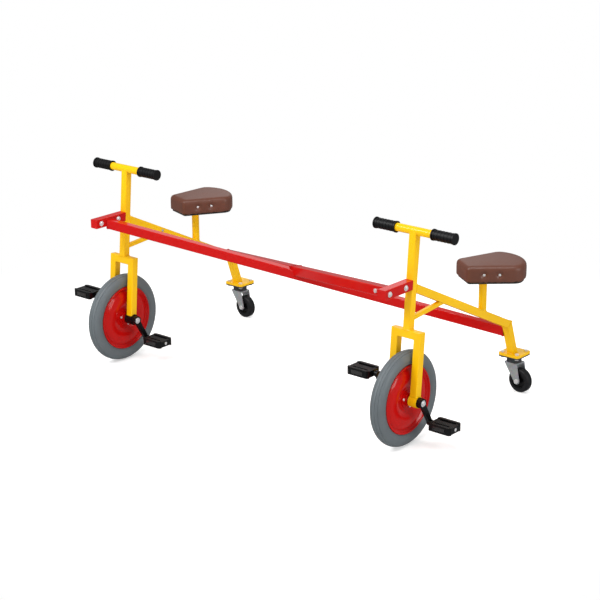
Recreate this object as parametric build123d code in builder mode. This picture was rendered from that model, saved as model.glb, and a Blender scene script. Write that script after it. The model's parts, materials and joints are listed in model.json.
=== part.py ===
from build123d import *
import os
from math import asin, atan2, cos, hypot, radians, sin, tan

# Side-by-side tandem: two pedal bikes for children, each with a driven front wheel and a
# swivel caster behind, held abreast by a welded cross of red tube.
# Millimetres. +X is forward, +Y is the riders' left, +Z is up. The origin is on the floor,
# below the middle of the whole vehicle.

# Layout
bike_spacing = 1190.0
wheelbase = 590.0
head_rake = 5.0

# Front wheel
wheel_diameter = 297.0
tyre_section_radius = 23.5
rim_diameter = 216.0
rim_half_width = 20.0
rim_bead_radius = 3.2
rim_bed_diameter = 204.0
tyre_foot_height = 24.0
groove_diameter = 190.0
groove_half_width = 12.0
dome_diameter = 138.0
dome_half_width = 20.0
dish_foot_diameter = 76.0
dish_foot_half_width = 13.0
hub_flange_diameter = 56.0
hub_flange_half_width = 16.0
hub_diameter = 40.0
hub_half_width = 22.0
axle_diameter = 20.0

# Yellow frame tube
tube = 25.0
tube_wall = 2.0
tube_corner = 3.0
crown_top = 212.0
fork_gap = 58.0
bearing_diameter = 36.0
bearing_inner_y = 27.5
bearing_outer_y = 56.0
beam_front_top = 496.0
leg_height = 106.8502
leg_foot_inset = 12.0
leg_lean = 19.0
brace_tube = 14.0
brace_low_z = 390.0
brace_high_x = 177.0

# Handlebar
bar_height = 507.0
bar_diameter = 25.0
bar_length = 280.0
grip_diameter = 31.0
grip_flange_diameter = 35.0
grip_flange = 4.0
grip_length = 78.0
grip_end = 3.0
grip_ribs = 6
grip_rib = 4.0
grip_rib_height = 0.8

# Saddle, with the place, height and turn that each one is set to
seat_thickness = 54.0
seat_nose_width = 104.0
seat_width = 186.0
seat_front_reach = 74.0
seat_wide_reach = 84.0
seat_rear_reach = 136.0
seat_nose_radius = 14.0
seat_tail_radius = 38.0
seat_top_radius = 14.0
seat_bottom_radius = 4.0
seat_base_inset = 8.0
seat_base_thickness = 5.0
seat_post_diameter = 25.0
left_seat_x = 400.0
left_seat_bottom = 428.0
left_seat_turn = -34.0
right_seat_x = 366.0
right_seat_bottom = 447.0
right_seat_turn = -18.0

# Cranks and pedals
crank_length = 84.0
crank_angle = 30.0
crank_inner_y = 61.0
crank_thickness = 11.0
crank_boss_diameter = 30.0
crank_collar_diameter = 32.0
crank_collar_gap = 1.0
crank_root_width = 18.0
crank_tip_width = 14.0
crank_eye_diameter = 20.0
crank_bolt_diameter = 12.0
crank_bolt_height = 4.0
pedal_gap = 8.0
pedal_length = 80.0
pedal_depth = 62.0
pedal_height = 24.0
pedal_body_height = 20.0
pedal_corner = 9.0
pedal_rail = 10.0
pedal_slot_width = 10.0
pedal_slot_length = 58.0
pedal_slot_offset = 16.0
pedal_spindle_diameter = 12.0
pedal_end_wall = 4.0
pedal_end_gap = 2.0

# Swivel caster and the frame plate above it; caster_set is the way the wheel trails
caster_plate = 76.0
caster_plate_thickness = 8.0
caster_plate_top = 130.0
caster_plate_corner = 7.0
caster_hole_pitch = 54.0
caster_head_thickness = 4.0
caster_race_diameter = 48.0
caster_wheel_diameter = 80.0
caster_wheel_width = 26.0
caster_tread_radius = 7.0
caster_tyre_inner_diameter = 54.0
caster_rim_wall = 4.0
caster_hub_diameter = 20.0
caster_hub_width = 32.0
caster_web_width = 10.0
caster_trail = 28.0
caster_set = 85.0
caster_fork_gap = 36.0
caster_fork_sheet = 3.0
caster_crown_sheet = 3.5
caster_crown_clearance = 14.0
caster_fork_front = 22.0
caster_fork_back = 26.0
caster_fork_tip_diameter = 20.0
caster_race_gap = 1.0
kingpin_diameter = 12.0
caster_axle_diameter = 10.0
caster_nut_diameter = 15.0

# Red cross and its brackets
cross_tube = 30.0
cross_wall = 2.0
bracket_height = 497.0
bracket_reach = 112.0
bracket_bolt_rear = 16.0
bracket_bolt_front = 92.0
stub_reach = 103.0
cross_front_x = 52.0
cross_drop = 9.0
cross_leg_rise = 78.0
cross_beam_run = 40.0
cross_bolt_inset = 62.0

# Fasteners and fits
bolt_diameter = 8.0
bolt_head_diameter = 13.0
bolt_head_height = 4.5
running_fit = 0.05
bolt_clearance = 0.2
sleeve_clearance = 0.5
weld_gap = 0.2

# Worked-out places
wheel_radius = wheel_diameter / 2
caster_radius = caster_wheel_diameter / 2
half_tube = tube / 2
bolt_hole_radius = bolt_diameter / 2 + bolt_clearance
fork_leg_y = fork_gap / 2 + half_tube
fork_outer_y = fork_gap / 2 + tube
axle_x = (wheelbase + caster_plate / 2 - wheel_radius) / 2
caster_x = axle_x - wheelbase
leg_foot_x = caster_x + leg_foot_inset
rake = radians(head_rake)
lean = radians(leg_lean)
leg_way = Vector(-sin(lean), 0, -cos(lean))
crank_turn = radians(crank_angle)
crank_drop = Vector(-sin(crank_turn), 0, -cos(crank_turn)) * crank_length
crank_outer_y = crank_inner_y + crank_thickness
collar_y = bearing_outer_y + crank_collar_gap
pedal_inner_y = crank_outer_y + pedal_gap
caster_crown_bottom = caster_wheel_diameter + caster_crown_clearance
caster_crown_top = caster_crown_bottom + caster_crown_sheet
caster_head_top = caster_plate_top - caster_plate_thickness
caster_turn = radians(caster_set)
caster_forward = Vector(-cos(caster_turn), -sin(caster_turn), 0)
caster_left = Vector(sin(caster_turn), -cos(caster_turn), 0)

# The beam's top edge starts at the column's back and its middle line ends in the joint with the
# leg, so its slope follows from these two heights and the wheelbase.
joint_x = leg_foot_x + leg_height * tan(lean)
joint_z = caster_plate_top + leg_height
back_height = (beam_front_top - wheel_radius) / cos(rake)
edge_run = axle_x - half_tube * cos(rake) - back_height * sin(rake) - joint_x
edge_rise = wheel_radius - half_tube * sin(rake) + back_height * cos(rake) - joint_z
edge = hypot(edge_run, edge_rise)
joint_run = (edge**2 - half_tube**2) ** 0.5
slope = atan2(edge_rise, edge_run) - asin(half_tube / edge)
beam_way = Vector(-cos(slope), 0, -sin(slope))
beam_up = Vector(-sin(slope), 0, cos(slope))


def square_tube(size, wall, corner=tube_corner):
    """Section of a square tube with rounded corners."""
    RectangleRounded(size, size, corner)
    inner = size - 2 * wall
    RectangleRounded(inner, inner, corner - wall, mode=Mode.SUBTRACT)


def across(x, y, z):
    """Plane at a point whose normal runs to the riders' left."""
    return Plane(origin=(x, y, z), x_dir=(1, 0, 0), z_dir=(0, 1, 0))


def along_caster_axle(point, shift):
    """Plane at a caster's point, moved along its axle, whose normal runs along the axle."""
    return Plane(origin=point + caster_left * shift, x_dir=caster_forward, z_dir=caster_left)


def save(piece, name):
    """Label a finished piece and write it to its own file."""
    piece.part.label = name
    export_step(piece.part, f"parts/{name}.step")


os.makedirs("parts", exist_ok=True)

for side, y_mid, seat_x, seat_bottom, seat_turn in (
    ("l", bike_spacing / 2, left_seat_x, left_seat_bottom, left_seat_turn),
    ("r", -bike_spacing / 2, right_seat_x, right_seat_bottom, right_seat_turn),
):
    # The head plane stands on the front axle, with its normal up along the raked column.
    head = Plane(
        origin=(axle_x, y_mid, wheel_radius),
        x_dir=(cos(rake), 0, sin(rake)),
        z_dir=(-sin(rake), 0, cos(rake)),
    )
    middle = Plane(origin=(0, y_mid, 0), z_dir=(0, 1, 0))
    column_front = Plane(origin=head.from_local_coords((half_tube, 0, 0)), z_dir=head.x_dir)
    column_back = Plane(origin=head.from_local_coords((-half_tube, 0, 0)), z_dir=head.x_dir)
    joint = Vector(joint_x, y_mid, joint_z)
    beam_start = joint - beam_way * joint_run
    mitre = Plane(origin=joint, z_dir=beam_way + leg_way)
    beam_top = Plane(origin=beam_start + beam_up * half_tube, z_dir=beam_up)
    beam_under = Plane(origin=beam_start - beam_up * half_tube, z_dir=beam_up)

    # Column with a fish-mouth top under the handlebar.
    with BuildPart() as column:
        with BuildSketch(head.offset(crown_top)):
            square_tube(tube, tube_wall)
        extrude(amount=bar_height - crown_top)
        with Locations(head.location * Pos(0, 0, bar_height)):
            Cylinder(bar_diameter / 2 + weld_gap, 2 * tube, rotation=(90, 0, 0), mode=Mode.SUBTRACT)
    save(column, f"{side}_column")

    # Stub in front of the column that the red bracket slides on.
    bracket_root = Plane((axle_x - tube, y_mid, bracket_height), x_dir=(0, 1, 0), z_dir=(1, 0, 0))
    bolt_places = (axle_x + bracket_bolt_rear, axle_x + bracket_bolt_front)
    with BuildPart() as stub:
        with BuildSketch(bracket_root):
            square_tube(tube, tube_wall)
        extrude(amount=tube + stub_reach)
        split(bisect_by=column_front, keep=Keep.TOP)
        for bolt_x in bolt_places:
            with Locations((bolt_x, y_mid, bracket_height)):
                Cylinder(bolt_hole_radius, 2 * tube, rotation=(90, 0, 0), mode=Mode.SUBTRACT)
    save(stub, f"{side}_stub")

    with BuildPart() as handlebar:
        with BuildSketch(across(*head.from_local_coords((0, -bar_length / 2, bar_height)))):
            Circle(bar_diameter / 2)
            Circle(bar_diameter / 2 - tube_wall, mode=Mode.SUBTRACT)
        extrude(amount=bar_length)
    save(handlebar, f"{side}_handlebar")

    # Two rubber grips with a flange at each end and ribs between, closed over the tube's ends.
    bar_mid = head.from_local_coords((0, 0, bar_height))
    grip_outer = bar_length / 2 + grip_end
    grip_inner = grip_outer - grip_length
    rib_room = (grip_length - 2 * grip_flange) / grip_ribs
    with BuildPart() as grips:
        with BuildSketch(Plane(origin=bar_mid, x_dir=(0, 1, 0), z_dir=(1, 0, 0))):
            with Locations(((grip_inner + grip_outer) / 2, grip_diameter / 4)):
                Rectangle(grip_length, grip_diameter / 2)
            for flange_y in (grip_inner + grip_flange / 2, grip_outer - grip_flange / 2):
                with Locations((flange_y, grip_flange_diameter / 4)):
                    Rectangle(grip_flange, grip_flange_diameter / 2)
            for rib in range(grip_ribs):
                rib_y = grip_inner + grip_flange + (rib + 0.5) * rib_room
                with Locations((rib_y, (grip_diameter / 2 + grip_rib_height) / 2)):
                    Rectangle(grip_rib, grip_diameter / 2 + grip_rib_height)
            with Locations(((grip_inner + bar_length / 2) / 2, bar_diameter / 4)):
                Rectangle(
                    bar_length / 2 - grip_inner,
                    bar_diameter / 2 + 2 * weld_gap,
                    mode=Mode.SUBTRACT,
                )
            mirror(about=Plane.YZ)
        revolve(axis=Axis(bar_mid, (0, 1, 0)))
    save(grips, f"{side}_grips")

    # Sloping main beam, cut to the column in front and mitred to the leg behind.
    with BuildPart() as beam:
        with BuildSketch(Plane(beam_start - beam_way * tube, x_dir=(0, 1, 0), z_dir=beam_way)):
            square_tube(tube, tube_wall)
        extrude(amount=joint_run + 3 * tube)
        split(bisect_by=column_back, keep=Keep.BOTTOM)
        split(bisect_by=mitre, keep=Keep.BOTTOM)
    save(beam, f"{side}_beam")

    with BuildPart() as leg:
        with BuildSketch(Plane(joint - leg_way * tube, x_dir=(0, 1, 0), z_dir=leg_way)):
            square_tube(tube, tube_wall)
        extrude(amount=joint.Z / cos(lean))
        split(bisect_by=mitre, keep=Keep.TOP)
        split(bisect_by=Plane.XY.offset(caster_plate_top), keep=Keep.TOP)
    save(leg, f"{side}_leg")

    # Thin brace in the angle below the beam.
    low_x = (brace_low_z - wheel_radius) * tan(rake) + half_tube
    brace_low = Vector(axle_x - low_x, y_mid, brace_low_z)
    under_drop = (brace_high_x - (axle_x - beam_start.X)) * tan(slope) + half_tube / cos(slope)
    brace_high = Vector(axle_x - brace_high_x, y_mid, beam_start.Z - under_drop)
    brace_way = brace_high - brace_low
    with BuildPart() as brace:
        with BuildSketch(Plane(brace_low - brace_way, x_dir=(0, 1, 0), z_dir=brace_way)):
            square_tube(brace_tube, tube_wall)
        extrude(amount=3 * brace_way.length)
        split(bisect_by=column_back, keep=Keep.BOTTOM)
        split(bisect_by=beam_under, keep=Keep.BOTTOM)
    save(brace, f"{side}_brace")

    # Fork: a crown and two legs of square tube with mitred corners.
    mitre_left = Plane(
        origin=head.from_local_coords((0, fork_outer_y, crown_top)),
        z_dir=head.z_dir + Vector(0, -1, 0),
    )
    mitre_right = Plane(
        origin=head.from_local_coords((0, -fork_outer_y, crown_top)),
        z_dir=head.z_dir + Vector(0, 1, 0),
    )
    crown_end = head.from_local_coords((0, -fork_outer_y, crown_top - half_tube))
    with BuildPart() as crown:
        with BuildSketch(Plane(crown_end, x_dir=head.x_dir, z_dir=(0, 1, 0))):
            square_tube(tube, tube_wall)
        extrude(amount=2 * fork_outer_y)
        split(bisect_by=mitre_left, keep=Keep.TOP)
        split(bisect_by=mitre_right, keep=Keep.TOP)
    save(crown, f"{side}_fork_crown")

    with BuildPart() as fork_legs:
        with BuildSketch(head):
            with Locations((0, fork_leg_y)):
                square_tube(tube, tube_wall)
        extrude(amount=crown_top)
        split(bisect_by=mitre_left, keep=Keep.BOTTOM)
        with Locations(head.location):
            Cylinder(
                bearing_diameter / 2 + weld_gap,
                4 * fork_outer_y,
                rotation=(90, 0, 0),
                mode=Mode.SUBTRACT,
            )
        mirror(about=middle)
    save(fork_legs, f"{side}_fork_legs")

    # Bearing housings: short cross tubes at the feet of the fork.
    with BuildPart() as bearings:
        for start_y in (bearing_inner_y, -bearing_outer_y):
            with BuildSketch(across(axle_x, y_mid + start_y, wheel_radius)):
                Circle(bearing_diameter / 2)
                Circle(axle_diameter / 2 + running_fit, mode=Mode.SUBTRACT)
            extrude(amount=bearing_outer_y - bearing_inner_y)
    save(bearings, f"{side}_bearings")

    # Saddle: board and cushion share one outline, turned about the post.
    seat = Plane((axle_x - seat_x, y_mid, seat_bottom)).rotated((0, 0, seat_turn))
    with BuildSketch(seat) as seat_plan:
        with BuildLine():
            nose = Line(
                (seat_front_reach, -seat_nose_width / 2),
                (seat_front_reach, seat_nose_width / 2),
            )
            flank = Line(nose @ 1, (-seat_wide_reach, seat_width / 2))
            tail = ThreePointArc(
                flank @ 1,
                (-seat_rear_reach, 0),
                (-seat_wide_reach, -seat_width / 2),
            )
            Line(tail @ 1, nose @ 0)
        make_face()
        fillet(seat_plan.vertices().sort_by(Axis.X)[-2:], radius=seat_nose_radius)
        fillet(seat_plan.vertices().sort_by(Axis.X)[:2], radius=seat_tail_radius)

    with BuildPart() as cushion:
        extrude(seat_plan.sketch, amount=seat_thickness)
        fillet(cushion.faces().sort_by(Axis.Z)[-1].edges(), radius=seat_top_radius)
        fillet(cushion.faces().sort_by(Axis.Z)[0].edges(), radius=seat_bottom_radius)
    save(cushion, f"{side}_seat_cushion")

    with BuildPart() as seat_base:
        with BuildSketch(seat):
            add(seat_plan.sketch_local)
            offset(amount=-seat_base_inset, mode=Mode.REPLACE)
        extrude(amount=-seat_base_thickness)
    save(seat_base, f"{side}_seat_base")

    with BuildPart() as seat_post:
        with BuildSketch(Plane((axle_x - seat_x, y_mid, seat_bottom - seat_base_thickness))):
            Circle(seat_post_diameter / 2)
            Circle(seat_post_diameter / 2 - tube_wall, mode=Mode.SUBTRACT)
        extrude(amount=-seat_bottom / 2)
        split(bisect_by=beam_top, keep=Keep.TOP)
    save(seat_post, f"{side}_seat_post")

    # Red bracket: a sleeve over the column's stub, closed in front.
    sleeve_bore = tube + 2 * sleeve_clearance
    with BuildPart() as bracket:
        with BuildSketch(bracket_root):
            RectangleRounded(cross_tube, cross_tube, tube_corner)
        extrude(amount=tube + bracket_reach)
        with BuildSketch(bracket_root):
            RectangleRounded(sleeve_bore, sleeve_bore, tube_corner)
        extrude(amount=tube + bracket_reach - cross_wall, mode=Mode.SUBTRACT)
        split(bisect_by=column_front, keep=Keep.TOP)
        for bolt_x in bolt_places:
            with Locations((bolt_x, y_mid, bracket_height)):
                Cylinder(bolt_hole_radius, 2 * cross_tube, rotation=(90, 0, 0), mode=Mode.SUBTRACT)
    save(bracket, f"{side}_bracket")

    with BuildPart() as bracket_bolts:
        inner_y = y_mid - cross_tube / 2
        outer_y = y_mid + cross_tube / 2
        for bolt_x in bolt_places:
            with BuildSketch(across(bolt_x, inner_y - bolt_head_height, bracket_height)):
                RegularPolygon(bolt_head_diameter / 2, 6)
            extrude(amount=bolt_head_height)
            with BuildSketch(across(bolt_x, inner_y, bracket_height)):
                Circle(bolt_diameter / 2)
            extrude(amount=cross_tube)
            with BuildSketch(across(bolt_x, outer_y, bracket_height)):
                Circle(bolt_head_diameter / 2)
            extrude(amount=bolt_head_height)
        fillet(bracket_bolts.faces().group_by(Axis.Y)[-1].edges(), radius=bolt_head_height / 2)
    save(bracket_bolts, f"{side}_bracket_bolts")

    # Solid rubber tyre: a round section on a foot that fills the channel of the rim.
    wheel_section = Plane((axle_x, y_mid, wheel_radius), x_dir=(0, 1, 0), z_dir=(1, 0, 0))
    wheel_axis = Axis((axle_x, y_mid, wheel_radius), (0, 1, 0))
    bead_y = rim_half_width - rim_bead_radius
    bead_r = rim_diameter / 2 - rim_bead_radius
    tyre_ring_r = wheel_radius - tyre_section_radius
    with BuildPart() as tyre:
        with BuildSketch(wheel_section):
            with Locations((0, tyre_ring_r)):
                Circle(tyre_section_radius)
            with Locations((0, tyre_ring_r - tyre_foot_height / 2)):
                Rectangle(2 * bead_y, tyre_foot_height)
            with Locations((0, rim_bed_diameter / 4)):
                Rectangle(3 * bead_y, rim_bed_diameter / 2 + 2 * weld_gap, mode=Mode.SUBTRACT)
            with Locations((bead_y, bead_r), (-bead_y, bead_r)):
                Circle(rim_bead_radius + weld_gap, mode=Mode.SUBTRACT)
        revolve(axis=wheel_axis)
    save(tyre, f"{side}_tyre")

    # Pressed wheel: rolled bead, groove, domed ring and stepped hub, the same on both faces.
    with BuildPart() as disc:
        with BuildSketch(wheel_section):
            with BuildLine():
                bed = Line((0, rim_bed_diameter / 2), (bead_y, rim_bed_diameter / 2))
                wall = Line(bed @ 1, (groove_half_width, groove_diameter / 2))
                face = Spline(
                    wall @ 1,
                    (dome_half_width, dome_diameter / 2),
                    (dish_foot_half_width, dish_foot_diameter / 2),
                )
                hub = Polyline(
                    face @ 1,
                    (dish_foot_half_width, hub_flange_diameter / 2),
                    (hub_flange_half_width, hub_flange_diameter / 2),
                    (hub_flange_half_width, hub_diameter / 2),
                    (hub_half_width, hub_diameter / 2),
                    (hub_half_width, axle_diameter / 2 + weld_gap),
                    (0, axle_diameter / 2 + weld_gap),
                )
                Line(hub @ 1, bed @ 0)
            make_face()
            with Locations((bead_y, bead_r)):
                Circle(rim_bead_radius)
            mirror(about=Plane.YZ)
        revolve(axis=wheel_axis)
    save(disc, f"{side}_disc")

    with BuildPart() as axle:
        with BuildSketch(across(axle_x, y_mid - crank_outer_y, wheel_radius)):
            Circle(axle_diameter / 2)
        extrude(amount=2 * crank_outer_y)
        for start_y in (crank_outer_y, -crank_outer_y - crank_bolt_height):
            with BuildSketch(across(axle_x, y_mid + start_y, wheel_radius)):
                Circle(crank_bolt_diameter / 2)
            extrude(amount=crank_bolt_height)
    save(axle, f"{side}_axle")

    # Cranks, half a turn apart: collar, boss, tapered arm, eye and pedal spindle.
    spindle_length = pedal_gap + pedal_length - pedal_end_wall - pedal_end_gap
    with BuildPart() as cranks:
        for hand in (1, -1):
            tip = crank_drop * hand
            arm_y = y_mid + (crank_inner_y if hand > 0 else -crank_outer_y)
            collar_start = y_mid + (collar_y if hand > 0 else -crank_inner_y)
            spindle_y = y_mid + (crank_outer_y if hand > 0 else -crank_outer_y - spindle_length)
            with BuildSketch(across(axle_x, arm_y, wheel_radius)):
                Circle(crank_root_width / 2)
                with Locations((tip.X, -tip.Z)):
                    Circle(crank_tip_width / 2)
                make_hull()
                Circle(crank_boss_diameter / 2)
                with Locations((tip.X, -tip.Z)):
                    Circle(crank_eye_diameter / 2)
                Circle(axle_diameter / 2 + weld_gap, mode=Mode.SUBTRACT)
            extrude(amount=crank_thickness)
            with BuildSketch(across(axle_x, collar_start, wheel_radius)):
                Circle(crank_collar_diameter / 2)
                Circle(axle_diameter / 2 + weld_gap, mode=Mode.SUBTRACT)
            extrude(amount=crank_inner_y - collar_y)
            with BuildSketch(across(axle_x + tip.X, spindle_y, wheel_radius + tip.Z)):
                Circle(pedal_spindle_diameter / 2)
            extrude(amount=spindle_length)
    save(cranks, f"{side}_cranks")

    # Platform pedals: a block with two slots, raised tread rails and a blind bore.
    for hand, place in ((1, "left"), (-1, "right")):
        tip = crank_drop * hand
        start_y = y_mid + (pedal_inner_y if hand > 0 else -pedal_inner_y - pedal_length)
        bore_y = start_y if hand > 0 else start_y + pedal_end_wall
        pedal_mid = Vector(axle_x + tip.X, start_y + pedal_length / 2, wheel_radius + tip.Z)
        with BuildPart() as pedal:
            with BuildSketch(Plane(pedal_mid)):
                RectangleRounded(pedal_depth, pedal_length, pedal_corner)
                with Locations((pedal_slot_offset, 0), (-pedal_slot_offset, 0)):
                    SlotOverall(pedal_slot_length, pedal_slot_width, 90, mode=Mode.SUBTRACT)
            extrude(amount=pedal_body_height / 2, both=True)
            with BuildSketch(Plane(pedal_mid)):
                RectangleRounded(pedal_depth, pedal_length, pedal_corner)
                Rectangle(pedal_depth - 2 * pedal_rail, pedal_length, mode=Mode.SUBTRACT)
            extrude(amount=pedal_height / 2, both=True)
            with BuildSketch(across(pedal_mid.X, bore_y, pedal_mid.Z)):
                Circle(pedal_spindle_diameter / 2 + running_fit)
            extrude(amount=pedal_length - pedal_end_wall, mode=Mode.SUBTRACT)
        save(pedal, f"{side}_pedal_{place}")

    # Frame plate for the caster.
    with BuildPart() as plate:
        with BuildSketch(Plane((caster_x, y_mid, caster_head_top))):
            RectangleRounded(caster_plate, caster_plate, caster_plate_corner)
            with GridLocations(caster_hole_pitch, caster_hole_pitch, 2, 2):
                Circle(bolt_hole_radius, mode=Mode.SUBTRACT)
        extrude(amount=caster_plate_thickness)
    save(plate, f"{side}_caster_plate")

    # Caster head: top plate, ball race and kingpin.
    race_top = caster_head_top - caster_head_thickness
    with BuildPart() as caster_head:
        with BuildSketch(Plane((caster_x, y_mid, caster_head_top))):
            RectangleRounded(caster_plate, caster_plate, caster_plate_corner)
            with GridLocations(caster_hole_pitch, caster_hole_pitch, 2, 2):
                Circle(bolt_hole_radius, mode=Mode.SUBTRACT)
        extrude(amount=-caster_head_thickness)
        with BuildSketch(Plane((caster_x, y_mid, race_top))):
            Circle(caster_race_diameter / 2)
        extrude(amount=caster_crown_top + caster_race_gap - race_top)
        with BuildSketch(Plane((caster_x, y_mid, caster_crown_bottom))):
            Circle(kingpin_diameter / 2)
        extrude(amount=caster_head_top - caster_crown_bottom)
    save(caster_head, f"{side}_caster_head")

    with BuildPart() as caster_bolts:
        clamped = caster_plate_thickness + caster_head_thickness
        with BuildSketch(Plane((caster_x, y_mid, caster_plate_top))):
            with GridLocations(caster_hole_pitch, caster_hole_pitch, 2, 2):
                RegularPolygon(bolt_head_diameter / 2, 6)
        extrude(amount=bolt_head_height)
        with BuildSketch(Plane((caster_x, y_mid, caster_plate_top))):
            with GridLocations(caster_hole_pitch, caster_hole_pitch, 2, 2):
                Circle(bolt_diameter / 2)
        extrude(amount=-clamped)
        with BuildSketch(Plane((caster_x, y_mid, caster_plate_top - clamped))):
            with GridLocations(caster_hole_pitch, caster_hole_pitch, 2, 2):
                RegularPolygon(bolt_head_diameter / 2, 6)
        extrude(amount=-bolt_head_height)
    save(caster_bolts, f"{side}_caster_bolts")

    # Caster fork: a folded sheet with two legs that run back to the wheel's axle.
    swivel = Vector(caster_x, y_mid, 0)
    hub_mid = swivel - caster_forward * caster_trail + Vector(0, 0, caster_radius)
    fork_width = caster_fork_gap + 2 * caster_fork_sheet
    crown_length = caster_fork_front + caster_fork_back
    crown_shift = (caster_fork_front - caster_fork_back) / 2
    crown_z = caster_crown_bottom + caster_crown_sheet / 2
    with BuildPart() as caster_fork:
        with BuildSketch(Plane(swivel + Vector(0, 0, caster_crown_bottom), x_dir=caster_forward)):
            with Locations((crown_shift, 0)):
                Rectangle(crown_length, fork_width)
            Circle(kingpin_diameter / 2 + running_fit, mode=Mode.SUBTRACT)
        extrude(amount=caster_crown_sheet)
        for leg_shift in (caster_fork_gap / 2, -caster_fork_gap / 2 - caster_fork_sheet):
            with BuildSketch(along_caster_axle(swivel, leg_shift)):
                with Locations((crown_shift, -crown_z)):
                    Rectangle(crown_length, caster_crown_sheet)
                with Locations((-caster_trail, -caster_radius)):
                    Circle(caster_fork_tip_diameter / 2)
                make_hull()
                with Locations((-caster_trail, -caster_radius)):
                    Circle(caster_axle_diameter / 2 + bolt_clearance, mode=Mode.SUBTRACT)
            extrude(amount=caster_fork_sheet)
    save(caster_fork, f"{side}_caster_fork")

    with BuildPart() as caster_axle:
        with BuildSketch(along_caster_axle(hub_mid, -fork_width / 2)):
            Circle(caster_axle_diameter / 2)
        extrude(amount=fork_width)
        for nut_shift in (fork_width / 2, -fork_width / 2 - bolt_head_height):
            with BuildSketch(along_caster_axle(hub_mid, nut_shift)):
                RegularPolygon(caster_nut_diameter / 2, 6)
            extrude(amount=bolt_head_height)
    save(caster_axle, f"{side}_caster_axle")

    tread_height = (caster_wheel_diameter - caster_tyre_inner_diameter) / 2
    with BuildPart() as caster_tyre:
        with BuildSketch(Plane(hub_mid, x_dir=caster_left, z_dir=caster_forward)) as tread:
            with Locations((0, caster_radius - tread_height / 2)):
                Rectangle(caster_wheel_width, tread_height)
            fillet(tread.vertices().group_by(Axis.Y)[-1], radius=caster_tread_radius)
        revolve(axis=Axis(hub_mid, caster_left))
    save(caster_tyre, f"{side}_caster_tyre")

    hub_ring = caster_tyre_inner_diameter / 2 - weld_gap
    with BuildPart() as caster_hub:
        with BuildSketch(along_caster_axle(hub_mid, -caster_wheel_width / 2)):
            Circle(hub_ring)
            Circle(hub_ring - caster_rim_wall, mode=Mode.SUBTRACT)
        extrude(amount=caster_wheel_width)
        with BuildSketch(along_caster_axle(hub_mid, -caster_web_width / 2)):
            Circle(hub_ring - caster_rim_wall / 2)
        extrude(amount=caster_web_width)
        with BuildSketch(along_caster_axle(hub_mid, -caster_hub_width / 2)):
            Circle(caster_hub_diameter / 2)
        extrude(amount=caster_hub_width)
        with BuildSketch(along_caster_axle(hub_mid, -caster_hub_width / 2)):
            Circle(caster_axle_diameter / 2 + running_fit)
        extrude(amount=caster_hub_width, mode=Mode.SUBTRACT)
    save(caster_hub, f"{side}_caster_hub")

# Red cross. The first tube runs whole from the right bracket down to the left leg. The second
# runs from the left bracket to the rear of the right beam, in two halves that are coped over
# the first and meet on top of it.
cross_front_z = bracket_height - cross_drop
cross_rear_z = caster_plate_top + cross_leg_rise
leg_x = leg_foot_x + cross_leg_rise * tan(lean)
beam_point = joint - beam_way * cross_beam_run
front_y = bike_spacing / 2 - cross_tube / 2
rear_y = bike_spacing / 2 - half_tube
right_end = Plane(origin=(0, -front_y, 0), z_dir=(0, 1, 0))
left_leg_end = Plane(origin=(0, rear_y, 0), z_dir=(0, 1, 0))
left_end = Plane(origin=(0, front_y, 0), z_dir=(0, 1, 0))
right_beam_end = Plane(origin=(0, -rear_y, 0), z_dir=(0, 1, 0))
overrun = 2 * cross_tube
cope = cross_tube + 2 * weld_gap

whole_front = Vector(axle_x + cross_front_x, -front_y, cross_front_z)
whole_way = Vector(leg_x, rear_y, cross_rear_z) - whole_front
whole_side = whole_way.cross(Vector(0, 0, 1)).normalized()
whole_start = Plane(
    whole_front - whole_way.normalized() * overrun, x_dir=whole_side, z_dir=whole_way
)
coped_front = Vector(axle_x + cross_front_x, front_y, cross_front_z)
coped_way = Vector(beam_point.X, -rear_y, beam_point.Z) - coped_front
coped_side = Vector(0, 0, 1).cross(coped_way).normalized()
coped_start = Plane(
    coped_front - coped_way.normalized() * overrun, x_dir=coped_side, z_dir=coped_way
)
crossing = Plane(origin=whole_front, z_dir=whole_side)
cross_bolt_mid = coped_front + coped_way.normalized() * cross_bolt_inset

with BuildPart() as cross_whole:
    with BuildSketch(whole_start):
        square_tube(cross_tube, cross_wall)
    extrude(amount=whole_way.length + 2 * overrun)
    split(bisect_by=right_end, keep=Keep.TOP)
    split(bisect_by=left_leg_end, keep=Keep.BOTTOM)
save(cross_whole, "cross_whole")

with BuildPart() as cross_front:
    with BuildSketch(coped_start):
        square_tube(cross_tube, cross_wall)
    extrude(amount=coped_way.length + 2 * overrun)
    split(bisect_by=left_end, keep=Keep.BOTTOM)
    split(bisect_by=crossing, keep=Keep.TOP)
    with BuildSketch(whole_start):
        RectangleRounded(cope, cope, tube_corner)
    extrude(amount=whole_way.length + 2 * overrun, mode=Mode.SUBTRACT)
    with BuildSketch(Plane(cross_bolt_mid, x_dir=coped_way, z_dir=coped_side)):
        Circle(bolt_hole_radius)
    extrude(amount=cross_tube, both=True, mode=Mode.SUBTRACT)
save(cross_front, "cross_front")

with BuildPart() as cross_rear:
    with BuildSketch(coped_start):
        square_tube(cross_tube, cross_wall)
    extrude(amount=coped_way.length + 2 * overrun)
    split(bisect_by=right_beam_end, keep=Keep.TOP)
    split(bisect_by=crossing, keep=Keep.BOTTOM)
    with BuildSketch(whole_start):
        RectangleRounded(cope, cope, tube_corner)
    extrude(amount=whole_way.length + 2 * overrun, mode=Mode.SUBTRACT)
save(cross_rear, "cross_rear")

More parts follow.
